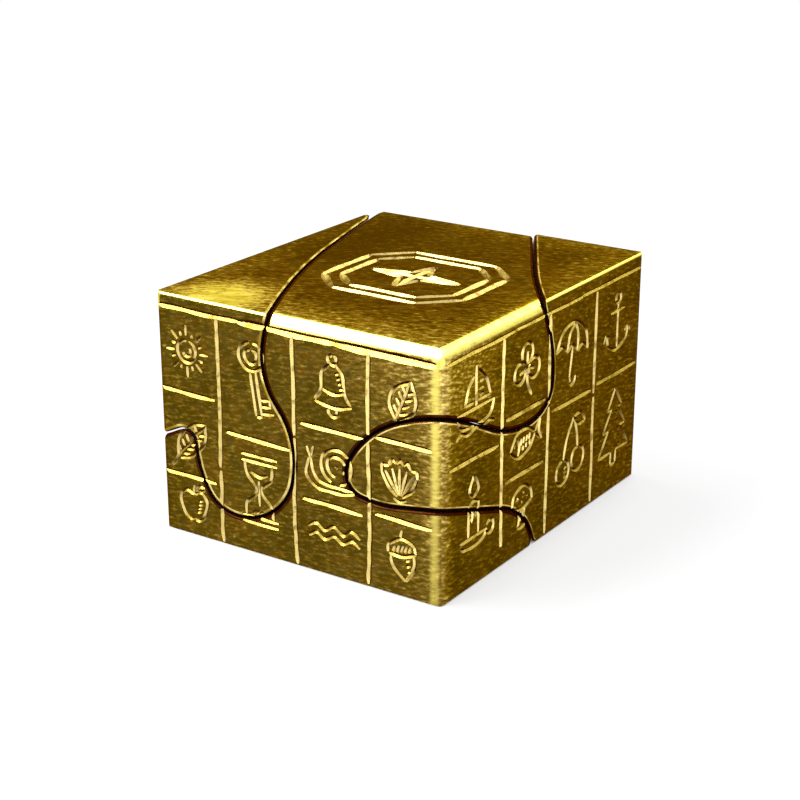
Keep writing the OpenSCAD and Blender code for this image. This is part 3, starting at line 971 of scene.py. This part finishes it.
def make_piece(node, body, cutters):
    "A finished piece: cleaned, engraved and given its normals."
    piece = bpy.data.objects.new(node + "_brass", bare_piece(node))
    bpy.context.scene.collection.objects.link(piece)
    cut = piece.modifiers.new("engraving", "BOOLEAN")
    cut.operation = "DIFFERENCE"
    cut.solver = "MANIFOLD"
    cut.operand_type = "COLLECTION"
    cut.collection = cutters
    cut.material_mode = "TRANSFER"
    engraved = settled(piece)
    piece.modifiers.clear()
    piece.data = engraved
    crease(engraved)
    weighted = piece.modifiers.new("normals", "WEIGHTED_NORMAL")
    weighted.mode = "FACE_AREA"
    weighted.keep_sharp = True
    piece.data = settled(piece)
    piece.modifiers.clear()
    piece.data.name = node + "_brass"
    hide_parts(node)
    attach(piece, body)


cutters = make_cutters()
for body, nodes in frame["record"]["behaviour"]["bodies"].items():
    for node in nodes:
        make_piece(node, body, cutters)
clear_away(cutters)

# ---------------------------------------------------------------- floor, light and camera

FLOOR_RADIUS = 3.0
FLOOR_PAINT = (0.85, 0.85, 0.85, 1)
WHITE = (1, 1, 1, 1)
# How far from the object the floor is darkened by it, and how bright the light is that it stands in
SHADOW_REACH = 12 * MM
SOFT_LIGHT = 0.45


def seen_directly(tree):
    "1 for what the camera sees, straight on, in a reflection or through glass, and 0 for other light."
    rays = tree.nodes.new("ShaderNodeLightPath").outputs
    return largest(tree, rays["Is Camera Ray"], rays["Is Glossy Ray"], rays["Is Transmission Ray"])


def make_floor():
    "A pale floor that reads as white, and keeps the object's shadow."
    bm = bmesh.new()
    bmesh.ops.create_circle(bm, cap_ends=True, segments=64, radius=FLOOR_RADIUS)
    mesh = bpy.data.meshes.new("floor")
    bm.to_mesh(mesh)
    bm.free()
    material = bpy.data.materials.new("pale_floor")
    material.use_nodes = True
    tree = material.node_tree
    tree.nodes.clear()
    paper = put(tree, "ShaderNodeBsdfDiffuse", {"Color": FLOOR_PAINT})
    glow = put(tree, "ShaderNodeEmission", {"Color": WHITE, "Strength": 1.0})
    spot = tree.nodes.new("ShaderNodeTexCoord").outputs["Object"]
    reach = put(tree, "ShaderNodeVectorMath", {0: spot}, operation="LENGTH").outputs["Value"]
    open_air = put(tree, "ShaderNodeAmbientOcclusion", {"Distance": SHADOW_REACH}, samples=8).outputs["AO"]
    clear = product(tree, fade(tree, open_air, 0.0, 0.7), fade(tree, reach, 0.03, 0.3, 0.82, 1.0))
    share = product(tree, seen_directly(tree), clear)
    mixed = put(tree, "ShaderNodeMixShader", {0: share, 1: paper.outputs[0], 2: glow.outputs[0]})
    put(tree, "ShaderNodeOutputMaterial", {"Surface": mixed.outputs[0]})
    mesh.materials.append(material)
    floor = bpy.data.objects.new("floor", mesh)
    bpy.context.scene.collection.objects.link(floor)


def make_world():
    "White to the camera and in reflections, and a soft plain light elsewhere."
    world = bpy.data.worlds.new("studio")
    bpy.context.scene.world = world
    world.use_nodes = True
    tree = world.node_tree
    tree.nodes.clear()
    soft = put(tree, "ShaderNodeBackground", {"Color": WHITE, "Strength": SOFT_LIGHT})
    white = put(tree, "ShaderNodeBackground", {"Color": WHITE, "Strength": 1.0})
    inputs = {0: seen_directly(tree), 1: soft.outputs[0], 2: white.outputs[0]}
    mixed = put(tree, "ShaderNodeMixShader", inputs)
    put(tree, "ShaderNodeOutputWorld", {"Surface": mixed.outputs[0]})


# How far the soft boxes stand from the block, and for each one the direction to it, the way its long
# side leans, its length and width in metres, and its brightness
LAMP_DISTANCE = 0.4
LAMPS = {
    "front_box": ((-0.52, -0.37, 0.77), (0, 0.9, 0.43), 0.6, 0.18, 11),
    "side_box": ((0.16, 0.78, 0.6), (-0.55, 0, 0.2), 0.32, 0.1, 5),
    "low_box": ((0.8, -0.55, 0.12), (0, 0, 1), 0.06, 0.1, 36),
}
CENTRE = Vector((0, 0, HEIGHT / 2))


def lamp(name, towards, lean, length, width, brightness):
    "A soft box that faces the middle of the block."
    light = bpy.data.lights.new(name, "AREA")
    light.shape = "RECTANGLE"
    light.size = width
    light.size_y = length
    light.energy = brightness * math.pi * width * length
    outward = Vector(towards).normalized()
    along_box = (Vector(lean) - outward * outward.dot(Vector(lean))).normalized()
    across_box = along_box.cross(outward)
    box = bpy.data.objects.new(name, light)
    box.location = CENTRE + outward * LAMP_DISTANCE
    box.rotation_euler = Matrix((across_box, along_box, outward)).transposed().to_euler()
    bpy.context.scene.collection.objects.link(box)


make_floor()
make_world()
for name, settings in LAMPS.items():
    lamp(name, *settings)

# The camera looks down on the front upright edge from a little over a hand's length away: how far it is
# turned to the right and raised, its distance, how far it is moved aside and up from there, and its lens
# and sensor in millimetres
CAMERA_TURN = math.radians(33.8)
CAMERA_RISE = math.radians(20.25)
CAMERA_DISTANCE = 222 * MM
CAMERA_ASIDE = -1.0 * MM
CAMERA_LIFT = -1.6 * MM
LENS = 80.8
SENSOR = 36


def make_camera():
    "The camera that the block is seen with."
    c = math.cos(CAMERA_TURN)
    s = math.sin(CAMERA_TURN)
    back = Vector((s * math.cos(CAMERA_RISE), -c * math.cos(CAMERA_RISE), math.sin(CAMERA_RISE)))
    aside = Vector((c, s, 0))
    upward = back.cross(aside)
    data = bpy.data.cameras.new("camera")
    data.sensor_width = SENSOR
    data.lens = LENS
    data.clip_start = 0.01
    camera = bpy.data.objects.new("camera", data)
    camera.location = CENTRE + back * CAMERA_DISTANCE + aside * CAMERA_ASIDE + upward * CAMERA_LIFT
    camera.rotation_euler = back.to_track_quat("Z", "Y").to_euler()
    bpy.context.scene.collection.objects.link(camera)
    bpy.context.scene.camera = camera


make_camera()
bpy.context.scene.view_settings.view_transform = "Standard"
